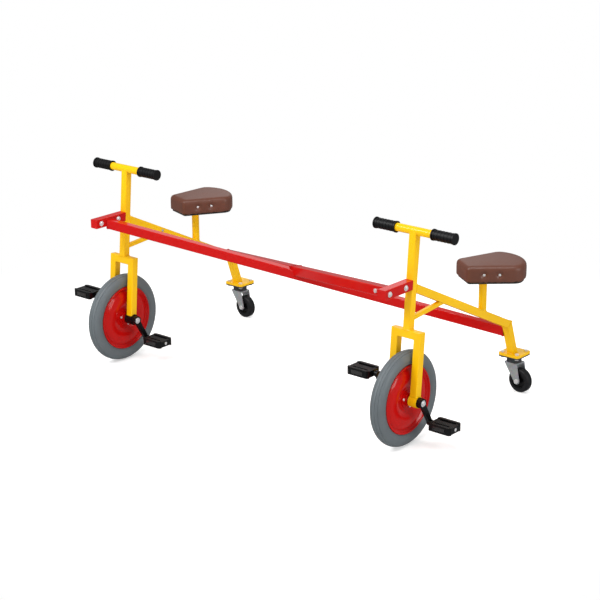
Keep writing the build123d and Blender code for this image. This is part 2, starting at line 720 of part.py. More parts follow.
# Bolt through the second tube beside the left bracket.
with BuildPart() as cross_bolt:
    bolt_face = Plane(cross_bolt_mid, x_dir=coped_way, z_dir=coped_side)
    with BuildSketch(bolt_face):
        Circle(bolt_diameter / 2)
    extrude(amount=cross_tube / 2, both=True)
    with BuildSketch(bolt_face.offset(cross_tube / 2)):
        Circle(bolt_head_diameter / 2)
    extrude(amount=bolt_head_height)
    with BuildSketch(bolt_face.offset(-cross_tube / 2)):
        RegularPolygon(bolt_head_diameter / 2, 6)
    extrude(amount=-bolt_head_height)
save(cross_bolt, "cross_bolt")
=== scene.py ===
import json
import math

import bmesh
import bpy
from mathutils import Matrix, Vector


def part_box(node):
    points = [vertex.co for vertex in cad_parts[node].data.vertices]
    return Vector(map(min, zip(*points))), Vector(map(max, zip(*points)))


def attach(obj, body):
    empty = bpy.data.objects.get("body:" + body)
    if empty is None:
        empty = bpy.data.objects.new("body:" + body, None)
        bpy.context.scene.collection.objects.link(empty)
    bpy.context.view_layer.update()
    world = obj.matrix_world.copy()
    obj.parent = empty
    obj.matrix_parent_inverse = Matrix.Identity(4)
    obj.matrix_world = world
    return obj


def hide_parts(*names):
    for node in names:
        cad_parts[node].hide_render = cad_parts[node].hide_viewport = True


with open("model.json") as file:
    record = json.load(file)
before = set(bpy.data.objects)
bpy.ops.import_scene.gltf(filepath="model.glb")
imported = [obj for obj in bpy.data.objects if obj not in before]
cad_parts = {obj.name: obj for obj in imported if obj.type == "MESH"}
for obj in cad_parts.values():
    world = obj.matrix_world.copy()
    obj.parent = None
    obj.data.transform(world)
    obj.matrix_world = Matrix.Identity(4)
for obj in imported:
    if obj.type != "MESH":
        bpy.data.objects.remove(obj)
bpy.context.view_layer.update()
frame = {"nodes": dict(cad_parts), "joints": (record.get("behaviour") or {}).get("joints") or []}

bl_info = {
    "name": "Side-by-side tandem",
    "version": (1, 0, 0),
    "blender": (4, 5, 0),
    "location": "View3D > Sidebar > Tandem",
    "description": "Paints and trims the side-by-side tandem and sets up its studio",
    "category": "Object",
}

WHEEL_HUB = next(joint["pos_m"] for joint in frame["joints"] if joint["name"] == "l_wheel_spin")
SIDES = ("l", "r")
FRONT = Vector((1, 0, 0))
LEFT = Vector((0, 1, 0))
UP = Vector((0, 0, 1))
HANDS = {"left": LEFT, "right": -LEFT}
WHITE = (1, 1, 1, 1)

# Directions of the tubes and of their cut ends
BEAM_SLOPE = math.radians(26.1)
LEG_LEAN = math.radians(19)
BEAM_WAY = Vector((-math.cos(BEAM_SLOPE), 0, -math.sin(BEAM_SLOPE)))
BEAM_UP = Vector((-math.sin(BEAM_SLOPE), 0, math.cos(BEAM_SLOPE)))
LEG_WAY = Vector((-math.sin(LEG_LEAN), 0, -math.cos(LEG_LEAN)))
MITRE = (BEAM_WAY + LEG_WAY).normalized()
CROSS_SIDE = Vector((0.888, 0.46, 0))

# Least cosine between a direction and a face that looks that way
FLAT = 0.9
END_ON = 0.985

# Finishes of the solids that both bikes have alike, and of the others
COATS = {
    "yellow_coat": (
        "column", "stub", "handlebar", "beam", "leg", "brace", "fork_crown", "fork_legs", "seat_post",
        "caster_plate"),
    "red_coat": ("bracket", "disc"),
    "tyre_grey": ("tyre",),
    "grip_rubber": ("grips",),
    "saddle_vinyl": ("seat_cushion",),
    "board": ("seat_base",),
    "moulded_black": ("cranks", "caster_hub"),
    "pedal_tread": ("pedal_left", "pedal_right"),
    "caster_rubber": ("caster_tyre",),
    "bright_plate": ("axle", "bracket_bolts", "caster_bolts", "caster_axle"),
    # The caster head is the fork's zinc darkened to a painted shade under the caster plate
    "dark_sheet": ("caster_head",),
    "zinc_sheet": ("caster_fork",),
}
SINGLE_COATS = {
    "l_bearings": "yellow_coat",
    "r_bearings": "moulded_black",
    "cross_whole": "red_coat",
    "cross_front": "red_coat",
    "cross_rear": "red_coat",
    "cross_bolt": "bright_plate",
}

# Colours of small pieces
CASTER_BLACK = (0.009, 0.0095, 0.011)
# How far the caster head's zinc is darkened, as painted shade under the caster plate
PAINTED_SHADE_ON_ZINC = 0.16
PLATE_DULL = (0.82, 0.82, 0.83, 1)
PLATE_BRIGHT = (0.96, 0.96, 0.96, 1)
BOARD_DARK = (0.012, 0.01, 0.009, 1)
BOARD_PALE = (0.035, 0.03, 0.026, 1)


# Settings that a user would change

class TandemColours(bpy.types.PropertyGroup):
    """Colours of the paints, rubber, plastic and vinyl."""

    yellow: bpy.props.FloatVectorProperty(
        name="Yellow paint", description="Powder coat of both bikes", subtype="COLOR",
        size=3, min=0, max=1, default=(1.0, 0.56, 0.004))
    red: bpy.props.FloatVectorProperty(
        name="Red paint", description="Powder coat of the cross, brackets and wheels", subtype="COLOR",
        size=3, min=0, max=1, default=(0.55, 0.004, 0.003))
    tyre: bpy.props.FloatVectorProperty(
        name="Grey tyre", description="Solid rubber of the front tyres", subtype="COLOR",
        size=3, min=0, max=1, default=(0.128, 0.15, 0.162))
    vinyl: bpy.props.FloatVectorProperty(
        name="Brown vinyl", description="Cover of the saddles", subtype="COLOR",
        size=3, min=0, max=1, default=(0.125, 0.04, 0.022))
    black: bpy.props.FloatVectorProperty(
        name="Black plastic", description="Cranks, pedals and grips", subtype="COLOR",
        size=3, min=0, max=1, default=(0.004, 0.0042, 0.0048))
    zinc: bpy.props.FloatVectorProperty(
        name="Zinc plate", description="Sheet steel of the casters", subtype="COLOR",
        size=3, min=0, max=1, default=(0.5, 0.52, 0.54))
    reflector: bpy.props.FloatVectorProperty(
        name="Reflectors", description="Smoked lenses of the pedals", subtype="COLOR",
        size=3, min=0, max=1, default=(0.02, 0.018, 0.018))


class TandemSizes(bpy.types.PropertyGroup):
    """Sizes of the trim that the solids leave out."""

    saddle_swell: bpy.props.FloatProperty(
        name="Saddle swell", description="Most that the padding pushes the vinyl out", unit="LENGTH",
        default=0.006)
    saddle_voxel: bpy.props.FloatProperty(
        name="Saddle voxel", description="Mesh size of the padding", unit="LENGTH", default=0.005)
    rivet_radius: bpy.props.FloatProperty(
        name="Rivet radius", description="Heads on the flanks of a saddle", unit="LENGTH", default=0.0045)
    bead_radius: bpy.props.FloatProperty(
        name="Weld bead", description="Radius of the weld at a tube's foot", unit="LENGTH", default=0.0018)
    tread_groove: bpy.props.FloatProperty(
        name="Tread groove", description="Depth of the grooves round a tyre", unit="LENGTH", default=0.0014)
    saddle_yaw_left: bpy.props.FloatProperty(
        name="Left saddle turn", description="Turn of the left saddle on its post", unit="ROTATION",
        default=math.radians(-34))
    saddle_yaw_right: bpy.props.FloatProperty(
        name="Right saddle turn", description="Turn of the right saddle on its post", unit="ROTATION",
        default=math.radians(-18))


# Shader maths

class Value:
    """A socket that takes part in plain arithmetic."""

    def __init__(self, finish, socket):
        self.finish = finish
        self.socket = socket

    def __add__(self, other):
        return self.finish.math("ADD", self, other)

    def __sub__(self, other):
        return self.finish.math("SUBTRACT", self, other)

    def __rsub__(self, other):
        return self.finish.math("SUBTRACT", other, self)

    def __mul__(self, other):
        return self.finish.math("MULTIPLY", self, other)

    __radd__ = __add__
    __rmul__ = __mul__


class Finish:
    """A procedural material on one Principled shader."""

    def __init__(self, name, **constants):
        self.material = bpy.data.materials.new(name)
        self.material.use_nodes = True
        self.tree = self.material.node_tree
        self.shader = self.tree.nodes["Principled BSDF"]
        for socket, value in constants.items():
            self.socket(socket).default_value = value
        self.place = self.node("ShaderNodeTexCoord", out="Object")

    def node(self, kind, settings=None, inputs=None, out=0):
        """A node with its settings, then its inputs, as the value of one output."""
        made = self.tree.nodes.new(kind)
        for key, value in (settings or {}).items():
            if key == "stops":
                while len(made.color_ramp.elements) < len(value):
                    made.color_ramp.elements.new(1.0)
                for stop, (where, colour) in zip(made.color_ramp.elements, value):
                    stop.position = where
                    stop.color = (*colour, 1.0)
            else:
                setattr(made, key, value)
        for key, value in (inputs or {}).items():
            self.feed(made.inputs[key], value)
        return Value(self, made.outputs[out])

    def feed(self, socket, value):
        """Link a value to a socket, or set a constant on it."""
        if isinstance(value, Value):
            self.tree.links.new(value.socket, socket)
        else:
            socket.default_value = value

    def math(self, operation, a, b=0.0):
        return self.node("ShaderNodeMath", {"operation": operation}, {0: a, 1: b})

    def noise(self, scale, detail=3.0, rough=0.5):
        return self.node(
            "ShaderNodeTexNoise", None,
            {"Vector": self.place, "Scale": scale, "Detail": detail, "Roughness": rough})

    def cells(self, scale, feature="F1", out="Distance"):
        return self.node(
            "ShaderNodeTexVoronoi", {"feature": feature}, {"Vector": self.place, "Scale": scale}, out)

    def ramp(self, value, *stops):
        return self.node("ShaderNodeValToRGB", {"stops": stops}, {0: value})

    def mix(self, factor, a, b):
        return self.node("ShaderNodeMix", {"data_type": "RGBA"}, {0: factor, 6: a, 7: b}, 2)

    def xyz(self):
        """The three object coordinates."""
        split = self.node("ShaderNodeSeparateXYZ", None, {0: self.place}).socket.node
        return [Value(self, split.outputs[i]) for i in range(3)]

    def bump(self, height, distance, strength=1.0):
        normal = self.node(
            "ShaderNodeBump", None, {"Height": height, "Distance": distance, "Strength": strength})
        self.feed(self.shader.inputs["Normal"], normal)

    def set(self, **sockets):
        """Feed sockets of the shader, named in lower case with underscores."""
        for socket, value in sockets.items():
            self.feed(self.socket(socket), value)

    def socket(self, words):
        return self.shader.inputs[words.replace("_", " ").title().replace("Ior", "IOR")]


def shade(colour, factor):
    """A colour made lighter or darker, as four numbers for a socket."""
    return (*[min(1.0, c * factor) for c in colour], 1.0)


def powder_coat(name, colour):
    """Glossy powder coat: faint blotches, orange peel and a thin clear skin."""
    made = Finish(name, coat_roughness=0.06, specular_ior_level=0.3)
    blotch = made.noise(7.0, 4.0)
    peel = made.noise(700.0, 2.0)
    made.set(
        base_color=made.mix(blotch, shade(colour, 0.93), shade(colour, 1.06)),
        roughness=0.13 + 0.1 * made.noise(45.0, 3.0),
        coat_weight=0.05 + 0.1 * blotch)
    made.bump(peel, 0.0004, 0.12)
    return made.material


def tyre_rubber(name, colour):
    """Matt solid rubber, dusty in patches, with fine cross ribs on the tread."""
    made = Finish(name, specular_ior_level=0.5)
    rib_count = 260.0
    tread_start = 0.1385
    tread_rise = 160.0
    x, _, z = made.xyz()
    ahead = x - WHEEL_HUB[0]
    above = z - WHEEL_HUB[2]
    reach = made.math("SQRT", ahead * ahead + above * above)
    turn = made.math("ARCTAN2", above, ahead)
    ribs = made.math("SINE", turn * rib_count)
    outer = made.math("MAXIMUM", (reach - tread_start) * tread_rise, 0.0)
    tread = made.math("SMOOTH_MIN", outer, 1.0)
    dust = made.noise(28.0, 5.0, 0.65)
    grain = made.noise(900.0, 2.0)
    made.set(
        base_color=made.mix(dust, shade(colour, 0.86), shade(colour, 1.16)),
        roughness=0.34 + 0.2 * dust)
    made.bump(grain * 0.4 + ribs * tread * 0.5, 0.0006, 0.5)
    return made.material


def plain_rubber(name, colour, rough=0.5):
    """Dark rubber with a soft grain."""
    made = Finish(name, specular_ior_level=0.3)
    bloom = made.noise(60.0, 4.0)
    made.set(
        base_color=made.mix(bloom, shade(colour, 0.75), shade(colour, 1.5)),
        roughness=rough - 0.15 + 0.2 * bloom)
    made.bump(made.noise(1200.0, 2.0), 0.0004, 0.25)
    return made.material


def moulded_black(name, colour):
    """Black moulded plastic or satin lacquer with a faint grain."""
    made = Finish(name, specular_ior_level=0.3)
    wear = made.noise(90.0, 4.0, 0.6)
    made.set(
        base_color=made.mix(wear, shade(colour, 0.7), shade(colour, 1.6)),
        roughness=0.2 + 0.16 * wear)
    made.bump(made.cells(1500.0), 0.0003, 0.12)
    return made.material


def pedal_tread(name, colour):
    """Moulded black with fine ribs across the treads."""
    made = Finish(name, specular_ior_level=0.3)
    rib_pitch = 1100.0
    ribs = made.math("SINE", made.xyz()[1] * rib_pitch)
    wear = made.noise(120.0, 4.0, 0.6)
    made.set(
        base_color=made.mix(wear, shade(colour, 0.7), shade(colour, 1.8)),
        roughness=0.24 + 0.18 * wear)
    made.bump(ribs + wear * 0.3, 0.0009, 0.5)
    return made.material


def saddle_vinyl(name, colour):
    """Grained vinyl: pebbled cells, long creases and worn lighter patches."""
    made = Finish(name, specular_ior_level=0.5, coat_roughness=0.3)
    patch = made.noise(16.0, 4.0, 0.6)
    pebble = made.cells(620.0, "SMOOTH_F1")
    crease = made.cells(95.0, "DISTANCE_TO_EDGE")
    valley = made.ramp(pebble, (0.0, (1, 1, 1)), (0.75, (0, 0, 0)))
    worn = made.mix(patch, shade(colour, 0.82), shade(colour, 1.22))
    made.set(
        base_color=made.mix(valley * 0.25, worn, shade(colour, 1.35)),
        roughness=0.34 + 0.12 * patch,
        coat_weight=0.04 + 0.06 * patch)
    made.bump(valley * 0.8 + crease * 0.5, 0.0006, 0.35)
    return made.material


def zinc_sheet(name, colour, rough=0.42):
    """Plated sheet steel with a faint spangle and scuffs."""
    made = Finish(name, metallic=0.6)
    spangle = made.cells(160.0, "F1", "Color")
    scuff = made.noise(220.0, 4.0, 0.6)
    tone = made.mix(scuff, shade(colour, 0.82), shade(colour, 1.2))
    made.set(
        base_color=made.node(
            "ShaderNodeMix", {"data_type": "RGBA", "blend_type": "SOFT_LIGHT"},
            {0: 0.18, 6: tone, 7: spangle}, 2),
        roughness=rough - 0.06 + 0.18 * scuff)
    made.bump(scuff, 0.0002, 0.2)
    return made.material


def bright_plate(name):
    """Bright plated steel of bolts and caps, with hairline scratches."""
    made = Finish(name, metallic=0.55)
    scratch = made.noise(420.0, 5.0, 0.7)
    made.set(
        base_color=made.mix(scratch, PLATE_DULL, PLATE_BRIGHT),
        roughness=0.22 + 0.2 * scratch)
    return made.material


def prism_lens(name, colour):
    """Moulded reflector lens: small prisms under a smooth skin."""
    made = Finish(name, coat_weight=0.6, coat_roughness=0.06, specular_ior_level=0.6)
    prism = made.cells(420.0, "DISTANCE_TO_EDGE")
    made.set(
        base_color=made.mix(prism * 3.0, shade(colour, 0.6), shade(colour, 1.9)),
        roughness=0.12 + 0.25 * prism)
    made.bump(prism, 0.001, 0.5)
    return made.material


def board(name):
    """Dark painted board under the padding."""
    made = Finish(name)
    fibre = made.noise(140.0, 5.0, 0.7)
    made.set(
        base_color=made.mix(fibre, BOARD_DARK, BOARD_PALE),
        roughness=0.6 + 0.25 * fibre)
    made.bump(fibre, 0.0006, 0.3)
    return made.material


def finish_named(name):
    """The material of that name, made when it is first asked for."""
    found = bpy.data.materials.get(name)
    if found:
        return found
    colours = bpy.context.scene.tandem_colours
    makers = {
        "yellow_coat": lambda: powder_coat(name, colours.yellow),
        "red_coat": lambda: powder_coat(name, colours.red),
        "tyre_grey": lambda: tyre_rubber(name, colours.tyre),
        "pedal_tread": lambda: pedal_tread(name, colours.black),
        "caster_rubber": lambda: plain_rubber(name, CASTER_BLACK),
        "grip_rubber": lambda: plain_rubber(name, colours.black),
        "moulded_black": lambda: moulded_black(name, colours.black),
        "saddle_vinyl": lambda: saddle_vinyl(name, colours.vinyl),
        "zinc_sheet": lambda: zinc_sheet(name, colours.zinc),
        # The caster head: the same zinc darkened to a painted shade under the caster plate
        "dark_sheet": lambda: zinc_sheet(name, shade(colours.zinc, PAINTED_SHADE_ON_ZINC)[:3], 0.5),
        "bright_plate": lambda: bright_plate(name),
        "prism_lens": lambda: prism_lens(name, colours.reflector),
        "board": lambda: board(name),
    }
    return makers[name]()


# Modelling helpers

def only(obj=None):
    """Leave edit mode, deselect everything and select one object alone."""
    if bpy.context.object and bpy.context.object.mode != "OBJECT":
        bpy.ops.object.mode_set(mode="OBJECT")
    bpy.ops.object.select_all(action="DESELECT")
    if obj:
        obj.select_set(True)
        bpy.context.view_layer.objects.active = obj
    return obj


def start(add, **settings):
    """Add a primitive alone, with its place put into its mesh."""
    only()
    add(**settings)
    obj = bpy.context.object
    bpy.ops.object.transform_apply(location=True, rotation=True, scale=True)
    return obj


def edit(obj):
    """Open an object alone in edit mode."""
    only(obj)
    bpy.ops.object.mode_set(mode="EDIT")


def pick(obj, kind, test):
    """Select the vertices, edges or faces that pass a test, in edit mode."""
    bpy.ops.mesh.select_mode(type={"verts": "VERT", "edges": "EDGE", "faces": "FACE"}[kind])
    bpy.ops.mesh.select_all(action="DESELECT")
    mesh = bmesh.from_edit_mesh(obj.data)
    for item in getattr(mesh, kind):
        if test(item):
            item.select_set(True)
    mesh.select_flush_mode()
    bmesh.update_edit_mesh(obj.data)


def joined(pieces):
    """Join several pieces into the first one."""
    only()
    for piece in pieces:
        piece.select_set(True)
    bpy.context.view_layer.objects.active = pieces[0]
    if len(pieces) > 1:
        bpy.ops.object.join()
    return bpy.context.object


def placed(first, places):
    """Copy a modelled piece to several places, each copy with its own mesh, and join them."""
    pieces = [first]
    for _ in places[1:]:
        only(first)
        bpy.ops.object.duplicate()
        pieces.append(bpy.context.object)
    for piece, place in zip(pieces, places):
        piece.data.transform(place)
    return joined(pieces)


def facing(place, out):
    """Matrix that stands an upright piece at a place, looking outwards."""
    return Matrix.Translation(place) @ out.to_track_quat("Z", "Y").to_matrix().to_4x4()


def bolt_head(radius, depth, sides, rim, rounds, both=False):
    """A short upright cylinder at the origin with its top rim, or both rims, bevelled."""
    made = start(
        bpy.ops.mesh.primitive_cylinder_add, vertices=sides, radius=radius, depth=depth, location=(0, 0, 0))
    edit(made)
    pick(made, "faces", lambda f: f.normal.z > FLAT or both and f.normal.z < -FLAT)
    bpy.ops.mesh.bevel(offset=rim, segments=rounds, affect="EDGES")
    return only(made)


def copy_of(node, merge):
    """A new object with a merged copy of a solid's mesh, all selected in edit mode."""
    made = bpy.data.objects.new("copy", frame["nodes"][node].data.copy())
    bpy.context.scene.collection.objects.link(made)
    edit(made)
    bpy.ops.mesh.select_all(action="SELECT")
    bpy.ops.mesh.remove_doubles(threshold=merge)
    return made


def apply_modifier(obj, name):
    """Apply one modifier of an object."""
    only(obj)
    bpy.ops.object.modifier_apply(modifier=name)


def settle(obj, name, body, finish, angle=40.0):
    """Name a finished piece, dress it and let it ride on a body."""
    only(obj)
    bpy.ops.object.transform_apply(location=True, rotation=True, scale=True)
    bpy.ops.object.shade_smooth_by_angle(angle=math.radians(angle))
    obj.name = name
    obj.data.name = name
    obj.data.materials.clear()
    obj.data.materials.append(finish_named(finish))
    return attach(obj, body)


def dress(node, finish):
    """Give a solid its material."""
    mesh = frame["nodes"][node].data
    mesh.materials.clear()
    mesh.materials.append(finish_named(finish))


def middle(node):
    """Centre of a solid's box."""
    low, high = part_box(node)
    return (low + high) / 2


# Pieces

class TANDEM_OT_paint(bpy.types.Operator):
    """Paint the solids that keep their shape"""

    bl_idname = "tandem.paint"
    bl_label = "Paint the solids"

    def execute(self, context):
        for finish, nodes in COATS.items():
            for node in nodes:
                for side in SIDES:
                    dress(f"{side}_{node}", finish)
        for node, finish in SINGLE_COATS.items():
            dress(node, finish)
        return {"FINISHED"}


class TANDEM_OT_saddles(bpy.types.Operator):
    """Swell the two padded saddles and set their rivets"""

    bl_idname = "tandem.saddles"
    bl_label = "Make the saddles"

    # Corners of a flank of the unturned saddle, from its post
    nose_corner = Vector((0.074, 0.052))
    wide_corner = Vector((-0.084, 0.093))

    # Rivets: how far along the flank from the nose, how high, and their heads
    rivet_runs = (0.053, 0.101)
    rivet_height = 0.024
    rivet_depth = 0.003
    rivet_lift = 0.0004
    rivet_rim = 0.0013
    ray_start = 0.05

    # Padding: the start is smaller than the cushion, and the cloth swells it
    merge = 0.0001
    shrink = (0.985, 0.985, 0.965)
    held_height = 0.004
    last_step = 20
    cloth = {
        "quality": 8,
        "tension_stiffness": 60,
        "compression_stiffness": 60,
        "shear_stiffness": 40,
        "bending_stiffness": 40,
        "air_damping": 8,
        "use_pressure": True,
        "uniform_pressure_force": 1.5,
    }
    calm_factor = 0.5
    calm_rounds = 5

    # Dimples round the rivets, and the puckered hem with its waves: count, start and strength
    dimple_depth = 0.008
    dimple_width = 0.0085
    dimple_end = 0.03
    hem_height = 0.012
    pucker = 0.0011
    pucker_waves = ((23, 0, 1.0), (41, 1, 0.6))

    def rivet_places(self, foot, yaw):
        """Place and outward direction of each rivet on both flanks."""
        turn = Matrix.Rotation(yaw, 3, "Z")
        run = (self.wide_corner - self.nose_corner).normalized()
        places = []
        for hand in (1, -1):
            for reach in self.rivet_runs:
                spot = self.nose_corner + run * reach
                flat = Vector((spot.x, spot.y * hand, self.rivet_height))
                out = Vector((run.y, -run.x * hand, 0)).normalized()
                places.append((foot + turn @ flat, turn @ out))
        return places

    def padding(self, node, foot, sizes):
        """A slightly smaller copy of the plain cushion, remeshed and swollen."""
        pad = copy_of(node, self.merge)
        bpy.ops.transform.resize(value=self.shrink, center_override=foot)
        only(pad)
        pad.data.remesh_voxel_size = sizes.saddle_voxel
        bpy.ops.object.voxel_remesh()
        self.swell(pad, sizes.saddle_swell, foot.z + self.held_height)
        return pad

    def swell(self, pad, most, held_below):
        """Blow the pad up a little with the cloth solver, with its foot held, and smooth it."""
        held = pad.vertex_groups.new(name="foot")
        held.add([v.index for v in pad.data.vertices if v.co.z < held_below], 1.0, "REPLACE")
        rest = [v.co.copy() for v in pad.data.vertices]
        swollen = pad.modifiers.new("swell", "CLOTH")
        for key, value in self.cloth.items():
            setattr(swollen.settings, key, value)
        swollen.settings.vertex_group_mass = "foot"
        swollen.settings.effector_weights.gravity = 0.0
        swollen.collision_settings.use_collision = False
        for step in range(1, self.last_step + 1):
            bpy.context.scene.frame_set(step)
        apply_modifier(pad, "swell")
        bpy.context.scene.frame_set(1)
        for vertex, was in zip(pad.data.vertices, rest):
            move = vertex.co - was
            if move.length > most:
                vertex.co = was + move.normalized() * most
        pad.vertex_groups.clear()
        calm = pad.modifiers.new("calm", "SMOOTH")
        calm.factor = self.calm_factor
        calm.iterations = self.calm_rounds
        apply_modifier(pad, "calm")

    def dent(self, pad, places, foot):
        """Dimple the vinyl at the rivets and pucker its hem."""
        for vertex in pad.data.vertices:
            for place, out in places:
                far = (vertex.co - place).length
                if far < self.dimple_end:
                    vertex.co -= out * self.dimple_depth * math.exp(-(far / self.dimple_width) ** 2)
            hem = max(0.0, 1 - (vertex.co.z - foot.z) / self.hem_height)
            turn = math.atan2(vertex.co.y - foot.y, vertex.co.x - foot.x)
            wave = 0.0
            for count, shift, strength in self.pucker_waves:
                wave += strength * math.sin(turn * count + shift)
            vertex.co.z += self.pucker * hem * wave

    def rivets(self, side, places, pad, radius):
        """Domed heads seated in the dimples of the vinyl."""
        seats = []
        for place, out in places:
            hit, spot, _, _ = pad.ray_cast(place + out * self.ray_start, -out)
            if not hit:
                raise RuntimeError(f"{side}_saddle has no vinyl at a rivet")
            seats.append(facing(spot + out * self.rivet_lift, out))
        head = bolt_head(radius, self.rivet_depth, 20, self.rivet_rim, 3)
        settle(placed(head, seats), f"{side}_saddle_rivets", "frame", "bright_plate")

    def execute(self, context):
        sizes = context.scene.tandem_sizes
        yaws = {"l": sizes.saddle_yaw_left, "r": sizes.saddle_yaw_right}
        for side in SIDES:
            node = f"{side}_seat_cushion"
            post = middle(f"{side}_seat_post")
            foot = Vector((post.x, post.y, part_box(node)[0].z))
            pad = self.padding(node, foot, sizes)
            places = self.rivet_places(foot, yaws[side])
            self.dent(pad, places, foot)
            finer = pad.modifiers.new("finer", "SUBSURF")
            finer.levels = finer.render_levels = 1
            apply_modifier(pad, "finer")
            settle(pad, f"{side}_saddle", "frame", "saddle_vinyl", 80)
            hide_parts(node)
            self.rivets(side, places, pad, sizes.rivet_radius)
        return {"FINISHED"}


class TANDEM_OT_tyres(bpy.types.Operator):
    """Spin the two grey tyres with their grooved tread"""

    bl_idname = "tandem.tyres"
    bl_label = "Make the tyres"

    section_points = 96
    ring_steps = 120
    groove_angles = tuple(math.radians(angle) for angle in (-35.6, -13.1, 13.1, 35.6))
    groove_reach = 0.05
    merge = 0.00005

    def in_groove(self, place):
        """Whether a point of the section, from the section's middle, lies in a groove."""
        angle = math.atan2(place.y, place.z)
        return any(abs(angle - groove) < self.groove_reach for groove in self.groove_angles)

    def execute(self, context):
        sizes = context.scene.tandem_sizes
        for side in SIDES:
            node = f"{side}_tyre"
            low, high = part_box(node)
            hub = (low + high) / 2
            section = (high.y - low.y) / 2
            ring = (high.z - low.z) / 2 - section
            core = hub + UP * ring
            tyre = start(
                bpy.ops.mesh.primitive_circle_add, vertices=self.section_points, radius=section,
                location=core, rotation=(0, math.pi / 2, 0))
            edit(tyre)
            pick(tyre, "verts", lambda vertex: self.in_groove(vertex.co - core))
            shrink = 1 - sizes.tread_groove / section
            bpy.ops.transform.resize(value=(1, shrink, shrink), center_override=core)
            bpy.ops.mesh.select_all(action="SELECT")
            bpy.ops.mesh.spin(steps=self.ring_steps, angle=2 * math.pi, center=hub, axis=LEFT)
            bpy.ops.mesh.select_all(action="SELECT")
            bpy.ops.mesh.remove_doubles(threshold=self.merge)
            bpy.ops.mesh.normals_make_consistent(inside=False)
            only(tyre)
            settle(tyre, f"{side}_tyre_tread", f"{side}_wheel", "tyre_grey", 30)
            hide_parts(node)
        return {"FINISHED"}


class TANDEM_OT_pedal_trim(bpy.types.Operator):
    """Fit reflectors and end caps to the pedals"""

    bl_idname = "tandem.pedal_trim"
    bl_label = "Trim the pedals"

    lens_size = (0.002, 0.042, 0.012)
    lens_edge = 0.0008
    cap_radius = 0.0055
    cap_depth = 0.003
    cap_sink = 0.0012
    cap_rim = 0.001

    def execute(self, context):
        for side in SIDES:
            for hand, out in HANDS.items():
                node = f"{side}_pedal_{hand}"
                low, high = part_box(node)
                mid = (low + high) / 2
                lens = start(
                    bpy.ops.mesh.primitive_cube_add, size=1, location=(0, 0, 0), scale=self.lens_size)
                edit(lens)
                bpy.ops.mesh.select_all(action="SELECT")
                bpy.ops.mesh.bevel(offset=self.lens_edge, segments=2, affect="EDGES")
                faces = [Matrix.Translation((x, mid.y, mid.z)) for x in (low.x, high.x)]
                settle(placed(only(lens), faces), f"{node}_reflectors", node, "prism_lens")
                end = mid + out * ((high.y - low.y) / 2 - self.cap_sink)
                cap = bolt_head(self.cap_radius, self.cap_depth, 24, self.cap_rim, 2)
                settle(placed(cap, [facing(end, out)]), f"{node}_cap", node, "bright_plate")
        return {"FINISHED"}


class TANDEM_OT_wheel_trim(bpy.types.Operator):
    """Bolt the two pressings of each wheel together at the hub"""

    bl_idname = "tandem.wheel_trim"
    bl_label = "Trim the wheels"

    circle = 0.0242
    face = 0.016
    angles = tuple(math.radians(angle) for angle in (-105, 15, 135))
    bolt_radius = 0.0036
    bolt_depth = 0.004
    bolt_lift = 0.0018
    bolt_rim = 0.0006

    def execute(self, context):
        for side in SIDES:
            hub = middle(f"{side}_axle")
            places = []
            for out in HANDS.values():
                for angle in self.angles:
                    around = Vector((math.cos(angle), 0, math.sin(angle))) * self.circle
                    places.append(facing(hub + around + out * (self.face + self.bolt_lift), out))
            bolt = bolt_head(self.bolt_radius, self.bolt_depth, 6, self.bolt_rim, 2)
            bolts = placed(bolt, places)
            settle(bolts, f"{side}_hub_bolts", f"{side}_wheel", "bright_plate", 25)
        return {"FINISHED"}


class TANDEM_OT_welds(bpy.types.Operator):
    """Lay painted weld beads round the feet of the tubes"""

    bl_idname = "tandem.welds"
    bl_label = "Lay the welds"

    merge = 0.00002

    def bead(self, node, ways, radius):
        """A bead along the rim of the end faces that look one of the given ways."""
        bead = copy_of(node, self.merge)
        pick(bead, "faces", lambda f: all(f.normal.dot(way) < END_ON for way in ways))
        bpy.ops.mesh.delete(type="FACE")
        pick(bead, "edges", lambda e: len(e.link_faces) != 1)
        bpy.ops.mesh.delete(type="EDGE")
        bpy.ops.mesh.select_all(action="SELECT")
        bpy.ops.mesh.delete(type="ONLY_FACE")
        only(bead)
        bpy.ops.object.convert(target="CURVE")
        line = bpy.context.object
        line.data.bevel_depth = radius
        line.data.bevel_resolution = 2
        bpy.ops.object.convert(target="MESH")
        return bpy.context.object

    def execute(self, context):
        radius = context.scene.tandem_sizes.bead_radius
        for side in SIDES:
            beads = [
                self.bead(f"{side}_beam", (FRONT, MITRE), radius),
                self.bead(f"{side}_leg", (-UP,), radius),
                self.bead(f"{side}_brace", (FRONT, BEAM_UP), radius),
                self.bead(f"{side}_seat_post", (-BEAM_UP,), radius),
                self.bead(f"{side}_column", (-UP,), radius),
            ]
            settle(joined(beads), f"{side}_welds", "frame", "yellow_coat", 60)
        beads = [
            self.bead("cross_whole", (LEFT, -LEFT), radius),
            self.bead("cross_front", (LEFT, CROSS_SIDE, -CROSS_SIDE), radius),
            self.bead("cross_rear", (-LEFT, CROSS_SIDE, -CROSS_SIDE), radius),
        ]
        settle(joined(beads), "cross_welds", "frame", "red_coat", 60)
        return {"FINISHED"}


